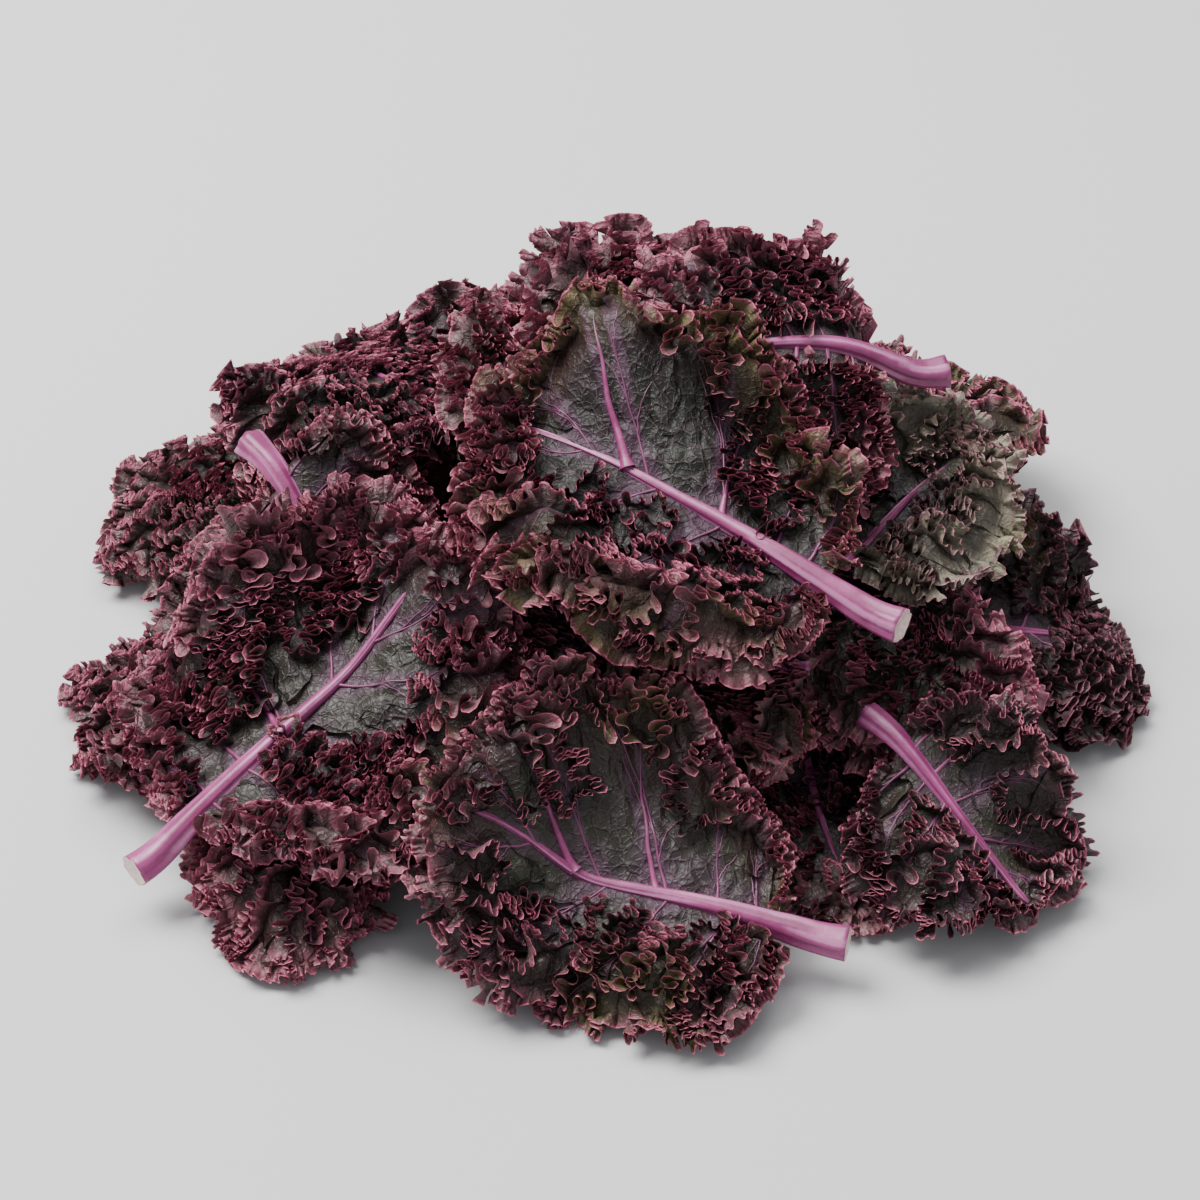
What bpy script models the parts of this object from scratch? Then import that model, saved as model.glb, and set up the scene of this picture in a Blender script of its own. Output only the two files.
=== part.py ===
"""A loose heap of purple curly kale: cut leaves, each a ruffled blade round its own stalk.

The leaves are draped one after another, from the bottom of the heap to its top. Each has a natural
shape of its own and gives way upwards wherever a leaf below, or the surface that the heap lies on,
is in its way, so that no two leaves share any space.

Run with blender --background --python part.py. Lengths in the tables are millimetres; Blender gets metres.
"""

import math
from typing import NamedTuple

import bmesh
import bpy
import numpy as np

MM = 0.001

BLADE_THICKNESS = 2.4  # the crumpled blade as one plain sheet
RUFFLE_HEIGHT = 4.2  # how far the margin waves above and below the blade's own surface
RUFFLE_COUNT = 7  # waves round one blade
CLEARANCE = 1.5  # kept above and below every piece
LOWEST = 2.0  # lowest height of a leaf's middle surface above the table
DRAPE_REACH = 12.0  # how far from an obstacle a leaf starts to rise over it

STALK_RADIUS = 6.2  # at the cut end
STALK_TIP_RADIUS = 1.5
STALK_REACH = 0.8  # share of the blade's length that the stalk runs up
STALK_RINGS = 9
STALK_GAP = 0.9  # between a stalk and the blade on both sides of it
STALK_MARGIN = 4.0  # strip beside a stalk that is kept free as well

OUTLINE_STEPS = 12  # outline segments on each side of a blade
BLADE_RINGS = (0.0, 0.45, 0.75, 1.0)  # from the stalk to the margin
BLADE_NECK = 5.0  # how far the blade reaches beyond the stalk where it begins
NECK_FALL = 3  # how fast that neck gives way to the blade's own outline
OUTLINE_POWER = 0.85  # under 1, the blade is fuller than an ellipse

CELL = 3.0  # grid on which the heap's heights are kept
GRID_HALF_X = 240.0
GRID_HALF_Y = 220.0
EMPTY = -1000.0

BLADE_COLOUR = (0.055, 0.022, 0.032, 1.0)
STALK_COLOUR = (0.36, 0.10, 0.27, 1.0)


class Leaf(NamedTuple):
    """A leaf's place in plan, measured from its cut end, and the shape it would have lying free."""

    name: str
    cut: tuple  # cut end of the stalk: x, y and height
    heading: float  # degrees from +X, from the cut end to the tip
    length: float  # from the cut end to the tip, in plan
    width: float  # greatest width of the blade
    bare: float  # bare stalk before the blade starts
    tip_height: float
    arch: float  # rise of the middle above the line from cut end to tip
    roll: float  # rise per length to the left of the stalk
    droop: float  # fall of both margins below the stalk


# From the bottom of the heap to its top.
LEAVES = (
    Leaf("core_left", (21, 14, 2), 178, 120, 110, 15, 2, 0, 0.0, 1),
    Leaf("core_right", (-29, 24, 6), 2, 120, 110, 15, 2, 0, 0.0, 1),
    Leaf("low_front", (62, -19, 8), -78, 98, 84, 15, 2, 0, 0.0, 1),
    Leaf("low_back_left", (-34, 49, 20), 130, 112, 104, 15, 3, 5, 0.0, 6),
    Leaf("low_back_right", (48, 42, 20), 50, 122, 104, 15, 3, 5, 0.0, 6),
    Leaf("low_back", (10, 50, 26), 92, 104, 84, 15, 3, 8, 0.0, 8),
    Leaf("far_left", (-68, 75, 48), 172, 122, 95, 18, 6, 10, 0.0, 16),
    Leaf("far_right", (62, 55, 46), 48, 124, 105, 18, 28, 14, 0.0, 18),
    Leaf("left", (-76, 9, 24), 193, 118, 92, 18, 3, 8, 0.0, 8),
    Leaf("right", (84, -5, 32), 16, 110, 95, 18, 4, 12, 0.0, 14),
    Leaf("right_front", (62, 13, 36), -38, 98, 78, 15, 8, 8, 0.0, 12),
    Leaf("low_front_left", (-110, -49, 22), -80, 88, 64, 15, 2, 8, 0.0, 8),
    Leaf("upper_left", (-4, 29, 42), 178, 84, 84, 15, 36, 4, 0.0, 8),
    Leaf("back_left", (-50, 61, 72), 132, 112, 115, 18, 44, 16, 0.0, 20),
    Leaf("mid_back", (14, 34, 50), 92, 106, 90, 15, 32, 18, 0.0, 14),
    Leaf("back_right", (73, 61, 64), 75, 82, 72, 15, 60, 8, 0.0, 12),
    Leaf("clump", (80, 3, 54), 50, 88, 74, 15, 46, 8, 0.0, 12),
    Leaf("spire", (-36, 41, 80), 92, 78, 50, 15, 100, 4, 0.0, 10),
    Leaf("left_back", (-126, 55, 56), -52, 90, 88, 18, 44, 2, 0.0, 12),
    Leaf("middle", (66, -35, 44), 178, 112, 84, 15, 38, 6, 0.0, 16),
    Leaf("inner", (40, -5, 64), 196, 104, 90, 15, 54, 6, 0.0, 12),
    Leaf("front_left", (-153, -96, 9), 41, 142, 142, 22, 76, 0, 0.0, 14),
    Leaf("front", (74, -128, 12), 168, 140, 98, 22, 13, 14, -0.2, 8),
    Leaf("front_right", (86, -51, 46), -48, 84, 86, 16, 5, 2, 0.0, 10),
    Leaf("back_top", (12, 23, 90), 84, 102, 114, 15, 114, 24, 0.0, 20),
    Leaf("top_right", (114, 65, 84), 194, 112, 112, 28, 100, 6, -0.2, 12),
    Leaf("top", (92, -51, 82), 150, 162, 114, 25, 112, 8, -0.3, 12),
)


def plan_axes(leaf):
    """Unit vectors in plan along the leaf, and across it to its left."""
    turn = math.radians(leaf.heading)
    along = np.array([math.cos(turn), math.sin(turn)])
    return along, np.array([-along[1], along[0]])


def plan_point(leaf, along, across):
    """Plan position, from distances along and across the leaf."""
    forward, left = plan_axes(leaf)
    return np.asarray(leaf.cut[:2]) + np.multiply.outer(along, forward) + np.multiply.outer(across, left)


def leaf_coordinates(leaf, x, y):
    """Distances along and across the leaf, from a plan position."""
    forward, left = plan_axes(leaf)
    dx, dy = x - leaf.cut[0], y - leaf.cut[1]
    return dx * forward[0] + dy * forward[1], dx * left[0] + dy * left[1]


def natural_height(leaf, along, across):
    """Height of the leaf's middle surface if nothing were in its way."""
    share = along / leaf.length
    rise = leaf.cut[2] + (leaf.tip_height - leaf.cut[2]) * share
    bend = 4 * leaf.arch * share * (1 - share)
    side = across / (leaf.width / 2)
    return rise + bend + leaf.roll * across - leaf.droop * side**2


def outline_point(leaf, share):
    """The margin, as distances along and across: share runs from 0 where the blade starts to 1 at its tip."""
    turn = math.pi * share
    along = leaf.bare + (leaf.length - leaf.bare) * (1 - np.cos(turn)) / 2
    across = leaf.width / 2 * np.sin(turn) ** OUTLINE_POWER
    return along, across + (STALK_RADIUS + BLADE_NECK) * (1 - share) ** NECK_FALL


def half_width(leaf, along):
    """Half of the blade's width at a distance along the leaf."""
    done = np.clip((along - leaf.bare) / (leaf.length - leaf.bare), 0.0, 1.0)
    return outline_point(leaf, np.arccos(1 - 2 * done) / math.pi)[1]


def stalk_end(leaf):
    """Distance along the leaf at which its stalk ends."""
    return leaf.bare + STALK_REACH * (leaf.length - leaf.bare)


def stalk_radius(leaf, along):
    share = np.minimum(along / stalk_end(leaf), 1.0)
    return STALK_RADIUS + (STALK_TIP_RADIUS - STALK_RADIUS) * share


class Heap:
    """The height of everything laid so far, on a square grid in plan."""

    def __init__(self):
        x = np.arange(-GRID_HALF_X, GRID_HALF_X + CELL, CELL)
        y = np.arange(-GRID_HALF_Y, GRID_HALF_Y + CELL, CELL)
        self.grid_x, self.grid_y = np.meshgrid(x, y, indexing="ij")
        self.top = np.full(self.grid_x.shape, EMPTY)

    def room(self, leaf, along, across):
        """Half of the height that the leaf takes at each grid cell, and zero where there is no leaf."""
        middle = (along - leaf.bare) / (leaf.length - leaf.bare) * 2 - 1
        edge = np.sqrt(middle**2 + (across / (leaf.width / 2)) ** 2)
        sheet = BLADE_THICKNESS / 2 + CLEARANCE + RUFFLE_HEIGHT * np.clip(edge, 0, 1) ** 2
        on_blade = (np.abs(across) < half_width(leaf, along) + 2 * CELL) & (along > leaf.bare - 2 * CELL)
        on_blade = on_blade & (along < leaf.length + 2 * CELL)
        radius = stalk_radius(leaf, np.clip(along, 0, stalk_end(leaf)))
        near_stalk = (np.abs(across) < radius + STALK_MARGIN) & (along > -CELL) & (along < stalk_end(leaf))
        return np.maximum(np.where(on_blade, sheet, 0.0), np.where(near_stalk, radius + CLEARANCE, 0.0))

    def lay(self, leaf):
        """Heights of the leaf's middle surface on the grid, raised over what lies below. Adds it to the heap."""
        along, across = leaf_coordinates(leaf, self.grid_x, self.grid_y)
        height = natural_height(leaf, along, across)
        room = self.room(leaf, along, across)
        covered = room > 0
        needed = np.maximum(self.top + room, LOWEST)
        height = height + smooth_cover(np.where(covered, np.clip(needed - height, 0.0, None), 0.0))
        self.top = np.where(covered, np.maximum(self.top, height + room), self.top)
        return height

    def read(self, heights, x, y):
        """Height at a plan position, between the four grid points round it."""
        cells_x = (x + GRID_HALF_X) / CELL
        cells_y = (y + GRID_HALF_Y) / CELL
        i, j = int(cells_x), int(cells_y)
        u, v = cells_x - i, cells_y - j
        low = heights[i, j] * (1 - v) + heights[i, j + 1] * v
        high = heights[i + 1, j] * (1 - v) + heights[i + 1, j + 1] * v
        return low * (1 - u) + high * u


def spread(field, cells, combine):
    """Combines each cell with those up to so many cells away, along both axes in turn."""
    for axis in (0, 1):
        shifted = [np.roll(field, step, axis) for step in range(-cells, cells + 1)]
        field = combine(shifted, axis=0)
    return field


def smooth_cover(field):
    """A smooth field that is nowhere lower than the given one."""
    half = round(DRAPE_REACH / CELL / 2)
    wide = spread(field, 2 * half, np.max)
    return spread(spread(wide, half, np.mean), half, np.mean)


def material(name, colour, roughness):
    made = bpy.data.materials.new(name)
    made.use_nodes = True
    surface = made.node_tree.nodes["Principled BSDF"]
    surface.inputs["Base Color"].default_value = colour
    surface.inputs["Roughness"].default_value = roughness
    surface.inputs["Metallic"].default_value = 0.0
    return made


def add_object(name, data, surface):
    made = bpy.data.objects.new(name, data)
    data.materials.append(surface)
    bpy.context.scene.collection.objects.link(made)


def blade_rays(leaf):
    """Rays from the stalk to the margin, from the left neck round the tip to the right neck.

    Each is the start and the end, as distances along and across the leaf.
    """
    reach = stalk_end(leaf)
    rays = []
    for step in range(-OUTLINE_STEPS, OUTLINE_STEPS + 1):
        share = 1 - abs(step) / OUTLINE_STEPS
        side = -1 if step > 0 else 1
        run = min(share * OUTLINE_STEPS / (OUTLINE_STEPS - 1), 1.0)
        start = leaf.bare + (reach + STALK_GAP - leaf.bare) * run
        beside = stalk_radius(leaf, start) + STALK_GAP
        margin_along, margin_across = outline_point(leaf, share)
        if step == 0:
            rays.append(((start + beside, 0.0), (leaf.length, 0.0)))
        else:
            rays.append(((start, side * beside), (margin_along, side * margin_across)))
    return rays


def add_blade(leaf, heap, heights, surface):
    """The ruffled sheet on both sides of the stalk, closed all round."""
    shape = bmesh.new()
    rays = blade_rays(leaf)
    under, over = [], []
    for number, (start, end) in enumerate(rays):
        wave = math.sin(2 * math.pi * RUFFLE_COUNT * number / (len(rays) - 1) + leaf.heading)
        for row, rise in ((under, 0.0), (over, BLADE_THICKNESS)):
            row.append([])
            for share in BLADE_RINGS:
                x, y = plan_point(leaf, *[a + (b - a) * share for a, b in zip(start, end)])
                height = heap.read(heights, x, y) + RUFFLE_HEIGHT * wave * share**2 - BLADE_THICKNESS / 2
                point = (x * MM, y * MM, (max(height, 0.0) + rise) * MM)
                row[-1].append(shape.verts.new(point))
    last = len(BLADE_RINGS) - 1
    for low, low_next, high, high_next in zip(under, under[1:], over, over[1:]):
        for ring in range(last):
            shape.faces.new((low_next[ring], low_next[ring + 1], low[ring + 1]))
            shape.faces.new((low_next[ring], low[ring + 1], low[ring]))
            shape.faces.new((high_next[ring], high[ring + 1], high_next[ring + 1]))
            shape.faces.new((high_next[ring], high[ring], high[ring + 1]))
        shape.faces.new((low[0], low_next[0], high_next[0], high[0]))
        shape.faces.new((low_next[last], low[last], high[last], high_next[last]))
    for low, high in ((under[0], over[0]), (over[-1], under[-1])):
        for ring in range(last):
            shape.faces.new((low[ring], high[ring], high[ring + 1], low[ring + 1]))
    bmesh.ops.triangulate(shape, faces=shape.faces)
    bmesh.ops.recalc_face_normals(shape, faces=shape.faces)
    mesh = bpy.data.meshes.new(f"{leaf.name}_blade")
    shape.to_mesh(mesh)
    shape.free()
    add_object(f"{leaf.name}_blade", mesh, surface)


def add_stalk(leaf, heap, heights, surface):
    """A tapering rod up the middle of the leaf, cut flat at its thick end."""
    curve = bpy.data.curves.new(leaf.name, "CURVE")
    curve.dimensions = "3D"
    curve.bevel_depth = 1.0 * MM
    curve.bevel_resolution = 2
    curve.use_fill_caps = True
    spline = curve.splines.new("POLY")
    spline.points.add(STALK_RINGS - 1)
    for number, point in enumerate(spline.points):
        along = stalk_end(leaf) * number / (STALK_RINGS - 1)
        radius = stalk_radius(leaf, along)
        x, y = plan_point(leaf, along, 0.0)
        height = max(heap.read(heights, x, y), radius)
        point.co = (x * MM, y * MM, height * MM, 1.0)
        point.radius = radius
    add_object(f"{leaf.name}_stalk", curve, surface)


def main():
    for old in list(bpy.data.objects):
        bpy.data.objects.remove(old)
    blade_surface = material("kale_blade", BLADE_COLOUR, 0.5)
    stalk_surface = material("kale_stalk", STALK_COLOUR, 0.4)
    heap = Heap()
    for leaf in LEAVES:
        heights = heap.lay(leaf)
        add_blade(leaf, heap, heights, blade_surface)
        add_stalk(leaf, heap, heights, stalk_surface)


main()
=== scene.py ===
"""The looks of a loose heap of purple curly kale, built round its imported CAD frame.

Every leaf is read from the frame: where its stalk runs, how far its blade reaches, how high it lies, and
how much room there is above and below it. On that surface a sheet of blade is grown, and from the sheet
three ruffles: one winds over the band along the margin, one runs along the very edge, and one hangs under
the sheet. Each is a wall of blade whose foot winds to and fro, and which is waved and crimped towards its
rim. Lengths are millimetres, and Blender gets metres.
"""

import math

import bpy
import numpy as np
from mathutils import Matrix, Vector
from mathutils.bvhtree import BVHTree


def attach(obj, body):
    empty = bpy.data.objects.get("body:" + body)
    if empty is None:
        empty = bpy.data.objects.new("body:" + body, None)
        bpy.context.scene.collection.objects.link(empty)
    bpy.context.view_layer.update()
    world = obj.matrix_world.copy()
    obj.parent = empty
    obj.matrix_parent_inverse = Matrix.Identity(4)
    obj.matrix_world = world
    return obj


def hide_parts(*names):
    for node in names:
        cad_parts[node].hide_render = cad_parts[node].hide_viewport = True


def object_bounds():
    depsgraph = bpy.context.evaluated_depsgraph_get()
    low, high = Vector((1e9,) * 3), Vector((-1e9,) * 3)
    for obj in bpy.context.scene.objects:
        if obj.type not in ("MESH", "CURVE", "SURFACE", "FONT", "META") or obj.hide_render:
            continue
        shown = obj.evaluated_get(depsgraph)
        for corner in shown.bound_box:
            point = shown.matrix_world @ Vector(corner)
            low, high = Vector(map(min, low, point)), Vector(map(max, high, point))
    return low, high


MM = 0.001
SEED = 7
UP = np.array([0, 0, 1.0])

# Reading the frame
CELL = 2.5  # spacing of the height maps
MAP_MARGIN = 30.0  # how far a leaf's map reaches past its CAD blade
HEAP_MARGIN = 40.0  # and the heap's past the CAD model
SKY = 1000.0  # higher than anything in the heap
BLADE_THICKNESS = 2.4  # of the CAD blades, which are plain sheets
STALK_END = 4.0  # how near to a stalk's end its width is measured
HOLLOW_FILL = 30  # passes that carry a blade's height past its CAD edge
SMOOTHING = 3  # passes that round the CAD blade's facets off

# Random fields
LATTICE = 64  # points along either side of a field's lattice, which repeats past them
LATTICE_SHIFT = 1000.0  # where on the lattice the origin lies

# The sheet: rows from the margin in, columns round the margin
BAND = 38.0  # how deep the ruffled band along the margin is
FULL_RAY = 56.0  # rays from midrib to margin shorter than this have their ruffles scaled down
RAY_REACH = 0.76  # share of the blade's length over which rays leave the midrib
RAY_LEAN = 1.4  # how much the rays lean towards the tip
OUTLINE_POWER = 0.85  # how blunt the outline is
OUTLINE_STEPS = 2001
INSET = 8.0  # how far the sheet stops short of the CAD blade's edge
CURL, CURL_UP = 0.6, 0.2  # how far the band curls up or down, and how far up on the whole, in radians
NEIGHBOUR_GAP = 0.6  # kept between a sheet and the CAD model of its neighbours
FLOOR_GAP = 0.15
HEADROOM = 9.0  # how far the frills may stand over the CAD model's top
SQUEEZE = 5.0  # the depth over which heights give way to a limit
LEAST_ROOM = 0.2  # between two limits

# The ruffles
FOOT_STEPS = 6000  # along the margin, for the way of a ruffle's foot
TURN_LENGTH, TURN_SWING = 16.0, 1.85  # the foot's way over the band
TURN_REACH = 10.5  # how far such a way swings to either side
UNDER_TURNS = 1.3  # times that length for the ruffle under the sheet
UNDER_COVER = 0.6  # share of the rays over which the ruffle under the sheet winds
FRINGE_LENGTH, FRINGE_SWING = 12.0, 1.3  # the foot's way along the very edge
WAVE_LENGTH, WAVE_SWING = 11.0, 1.3  # the wall's waves
CRIMP_LENGTH, CRIMP_SWING = 4.3, 1.75  # and the crimps at its rim
MOST_SWING = 2.1  # more than this, and a wave's loops touch
MOST_COLUMNS = {"over": 7900, "edge": 3400, "under": 2400}
RUFFLE_HEIGHT = 8.5
UNDER_HEIGHT = 1.3  # times that for the ruffle under the sheet
EDGE_HEIGHT = 0.78  # and for the one along the edge
LEAST_HEIGHT = 3.5  # of a ruffle without room
MOST_HEIGHT = 20.0  # room over this makes no difference
RUFFLE_ROWS = (0, 0.5, 1.1, 1.9, 3.0, 4.4, 6.4, 9.0)  # down from the rim, of a ruffle of full height
COARSER_PAST = (1.9, 4.4)  # rows past which every second column ends
FRAME_SMOOTHING = 9.0  # the length over which a ruffle's upward direction is averaged
ROOM_SMOOTHING = 3.0  # and the room above it
NO_VEIN = 9.0  # a place round the margin that no vein or column is near
FAR_FROM_VEINS = 50.0

# The stalk
STALK_STEP = 1.6
STALK_SIDES, STALK_FLATNESS = 28, 0.86
STALK_JOIN = 12.0  # over which the stalk's height passes into the blade's
CUT_HOLLOW = 0.9
CUT_RINGS = [(0.02, 0.9), (0.45, 0.45), (0.8, 0.12), (0.94, 0.02), (1.0, 0.0)]  # radius and depth, as shares
VEIN_STEPS, VEIN_SIDES = 26, 6


def wander(rng, place, spacing):
    """A smooth random curve between -1 and 1 along a row of places, turning every so often."""
    knots = rng.uniform(-1, 1, int(np.max(place) / spacing) + 3)
    step = np.asarray(place) / spacing
    index = step.astype(int)
    blend = step - index
    blend = blend * blend * (3 - 2 * blend)
    return knots[index] * (1 - blend) + knots[index + 1] * blend


def patches(rng, x, y, size):
    """A smooth random field between -1 and 1 over a plane, in patches of about one size."""
    lattice = rng.uniform(-1, 1, (LATTICE, LATTICE))
    fx, fy = x / size + LATTICE_SHIFT, y / size + LATTICE_SHIFT
    ix, iy = np.floor(fx).astype(int), np.floor(fy).astype(int)
    u, v = fx - ix, fy - iy
    u, v = u * u * (3 - 2 * u), v * v * (3 - 2 * v)

    def corner(i, j):
        return lattice[(ix + i) % LATTICE, (iy + j) % LATTICE]

    low = corner(0, 0) * (1 - u) + corner(1, 0) * u
    high = corner(0, 1) * (1 - u) + corner(1, 1) * u
    return low * (1 - v) + high * v


def cell_edges(rng, u, v):
    """How far each place is from the edge of its cell, in a field of irregular cells of unit size."""
    jitter = rng.uniform(-0.42, 0.42, (LATTICE, LATTICE, 2))
    iu, iv = np.floor(u).astype(int), np.floor(v).astype(int)
    nearest, second = np.full(u.shape, np.inf), np.full(u.shape, np.inf)
    for du in (-1, 0, 1):
        for dv in (-1, 0, 1):
            offset = jitter[(iu + du) % LATTICE, (iv + dv) % LATTICE]
            away = np.hypot(iu + du + 0.5 + offset[..., 0] - u, iv + dv + 0.5 + offset[..., 1] - v)
            second = np.minimum(second, np.maximum(nearest, away))
            nearest = np.minimum(nearest, away)
    return second - nearest


def box_mean(values, width):
    """Moving average of a row of values."""
    half = max(int(width) // 2, 1)
    padded = np.concatenate([np.full(half + 1, values[0]), values, np.full(half, values[-1])])
    total = np.cumsum(padded)
    return (total[2 * half + 1:] - total[:-2 * half - 1]) / (2 * half + 1)


def read_heights(tree, x, y, downwards):
    """Height in mm of a mesh at plan positions, seen from above or below; NaN where it isn't."""
    start, way = (SKY, -1.0) if downwards else (-SKY, 1.0)
    heights = np.full(x.size, np.nan)
    for index, (px, py) in enumerate(zip(x.ravel() * MM, y.ravel() * MM)):
        hit = tree.ray_cast(Vector((px, py, start * MM)), Vector((0.0, 0.0, way)))[0]
        if hit is not None:
            heights[index] = hit.z / MM
    return heights.reshape(x.shape)


class Map:
    """A field over a plan grid."""

    def __init__(self, low, high):
        self.low = np.asarray(low, float)
        x = np.arange(low[0], high[0] + CELL, CELL)
        y = np.arange(low[1], high[1] + CELL, CELL)
        self.x, self.y = np.meshgrid(x, y, indexing="ij")

    def read(self, field, x, y):
        """The field at places between the grid's points."""
        return read_grid(field, (x - self.low[0]) / CELL, (y - self.low[1]) / CELL)


def neighbours_mean(field):
    """Mean of each cell and the eight round it."""
    padded = np.pad(field, 1, mode="edge")
    rows = padded[:-2] + padded[1:-1] + padded[2:]
    return (rows[:, :-2] + rows[:, 1:-1] + rows[:, 2:]) / 9.0


def fill_holes(field):
    """Carries a field smoothly past the cells where it is known."""
    known = ~np.isnan(field)
    filled = np.where(known, field, np.nanmean(field))
    weight = known.astype(float)
    value = np.where(known, field, 0.0)
    for _ in range(HOLLOW_FILL):
        value, weight = neighbours_mean(value), neighbours_mean(weight)
        reached = (weight > 1e-6) & ~known
        filled = np.where(reached, value / np.maximum(weight, 1e-6), filled)
        value = np.where(known | reached, filled, 0.0)
        weight = (known | reached).astype(float)
        known = known | reached
    for _ in range(SMOOTHING):
        filled = neighbours_mean(filled)
    return filled


def node_points(node):
    """A CAD node's points in mm."""
    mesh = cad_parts[node].data
    points = np.empty(len(mesh.vertices) * 3, np.float32)
    mesh.vertices.foreach_get("co", points)
    return points.reshape(-1, 3).astype(float) / MM


def node_tree(node):
    """A CAD node's faces, for casting rays at."""
    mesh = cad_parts[node].data
    return BVHTree.FromPolygons([v.co for v in mesh.vertices], [p.vertices for p in mesh.polygons])


class Leaf:
    """A leaf's place and size, read from its CAD stalk and blade."""

    def __init__(self, name):
        self.name = name
        stalk, blade = node_points(f"{name}_stalk"), node_points(f"{name}_blade")
        centre = stalk[:, :2].mean(0)
        spread = np.cov((stalk[:, :2] - centre).T)
        axis = np.linalg.eigh(spread)[1][:, 1]
        side = np.array([-axis[1], axis[0]])
        along, across = (stalk[:, :2] - centre) @ axis, (stalk[:, :2] - centre) @ side
        ends = [np.ptp(across[np.abs(along - end) < STALK_END]) for end in (along.min(), along.max())]
        if ends[0] < ends[1]:
            axis, side, along = -axis, -side, -along
        self.forward, self.left = axis, side
        self.cut = centre + axis * along.min()
        self.stalk_length = np.ptp(along)
        self.cut_radius = max(ends) / 2
        along, across = self.leaf_places(blade[:, 0], blade[:, 1])
        self.start, self.length = along.min(), along.max()
        self.half_width = np.abs(across).max()
        self.stalk_tree = node_tree(f"{name}_stalk")
        self.map = Map(blade[:, :2].min(0) - MAP_MARGIN, blade[:, :2].max(0) + MAP_MARGIN)
        top = read_heights(node_tree(f"{name}_blade"), self.map.x, self.map.y, True)
        self.surface = fill_holes(top - BLADE_THICKNESS / 2)

    def leaf_places(self, x, y):
        """Distances along and across the leaf, from plan positions."""
        dx, dy = x - self.cut[0], y - self.cut[1]
        return dx * self.forward[0] + dy * self.forward[1], dx * self.left[0] + dy * self.left[1]

    def plan_places(self, along, across):
        x = self.cut[0] + along * self.forward[0] + across * self.left[0]
        y = self.cut[1] + along * self.forward[1] + across * self.left[1]
        return x, y

    def height(self, x, y):
        return self.map.read(self.surface, x, y)

    def stalk_height(self, along):
        """Height of the stalk's centre line at distances from its cut end."""
        x, y = self.plan_places(along, np.zeros_like(along))
        top = read_heights(self.stalk_tree, x, y, True)
        bottom = read_heights(self.stalk_tree, x, y, False)
        middle = (top + bottom) / 2
        known = ~np.isnan(middle)
        return np.interp(along, along[known], middle[known])


class Heap:
    """Height maps of every CAD node, on one grid."""

    def __init__(self):
        low, high = (np.array(corner) / MM for corner in CAD_BOX)
        self.map = Map(low[:2] - HEAP_MARGIN, high[:2] + HEAP_MARGIN)
        self.nodes = {}
        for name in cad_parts:
            points, tree = node_points(name), node_tree(name)
            inside = (self.map.x > points[:, 0].min() - CELL) & (self.map.x < points[:, 0].max() + CELL)
            inside &= (self.map.y > points[:, 1].min() - CELL) & (self.map.y < points[:, 1].max() + CELL)
            top = np.full(self.map.x.shape, np.nan)
            bottom = top.copy()
            top[inside] = read_heights(tree, self.map.x[inside], self.map.y[inside], True)
            bottom[inside] = read_heights(tree, self.map.x[inside], self.map.y[inside], False)
            self.nodes[name] = (top, bottom)

    def room(self, leaf):
        """The highest thing under a leaf and the lowest thing over it, as two maps."""
        surface = leaf.height(self.map.x, self.map.y)
        low, high = np.zeros_like(surface), np.full_like(surface, SKY)
        for name, (top, bottom) in self.nodes.items():
            if name in (f"{leaf.name}_blade", f"{leaf.name}_stalk"):
                continue
            known = ~np.isnan(top)
            under = known & ((top + bottom) / 2 < surface)
            over = known & ~under
            low[under] = np.maximum(low[under], top[under])
            high[over] = np.minimum(high[over], bottom[over])
        return widen(low), -widen(-high)


def widen(field):
    """Each cell takes the highest value of the cells round it."""
    padded = np.pad(field, 1, mode="edge")
    rows = np.maximum(np.maximum(padded[:-2], padded[1:-1]), padded[2:])
    return np.maximum(np.maximum(rows[:, :-2], rows[:, 1:-1]), rows[:, 2:])


def unit(vectors):
    return vectors / np.maximum(np.linalg.norm(vectors, axis=-1, keepdims=True), 1e-9)


def frames(grid):
    """Directions off the surface and outwards at each point of a grid."""
    along = unit(np.gradient(grid, axis=1))
    outward = unit(-np.gradient(grid, axis=0))
    normal = unit(np.cross(outward, along))
    return normal, unit(np.cross(along, normal))


def even_out(ways, width):
    """Directions averaged along each row."""
    half = max(int(width / 2), 1)
    padded = np.concatenate([ways[:, :1].repeat(half + 1, 1), ways, ways[:, -1:].repeat(half, 1)], 1)
    total = np.cumsum(padded, axis=1)
    return unit(total[:, 2 * half + 1:] - total[:, :-2 * half - 1])


def squeeze(z, low, high):
    """Keeps heights between two limits without letting any two of them swap or meet."""
    room = np.maximum(high - low, LEAST_ROOM)
    depth = np.minimum(SQUEEZE, room / 2)
    above = (z - low) / depth
    z = np.where(above < 1, low + depth * np.exp(np.minimum(above, 1) - 1), z)
    below = (high - z) / depth
    return np.where(below < 1, high - depth * np.exp(np.minimum(below, 1) - 1), z)


def headway(swing):
    """The share of its own length that a winding curve of this swing gets ahead, by the series of J0."""
    quarter = swing * swing / 4
    return 1 - quarter + quarter ** 2 / 4 - quarter ** 3 / 36 + quarter ** 4 / 576


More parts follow.
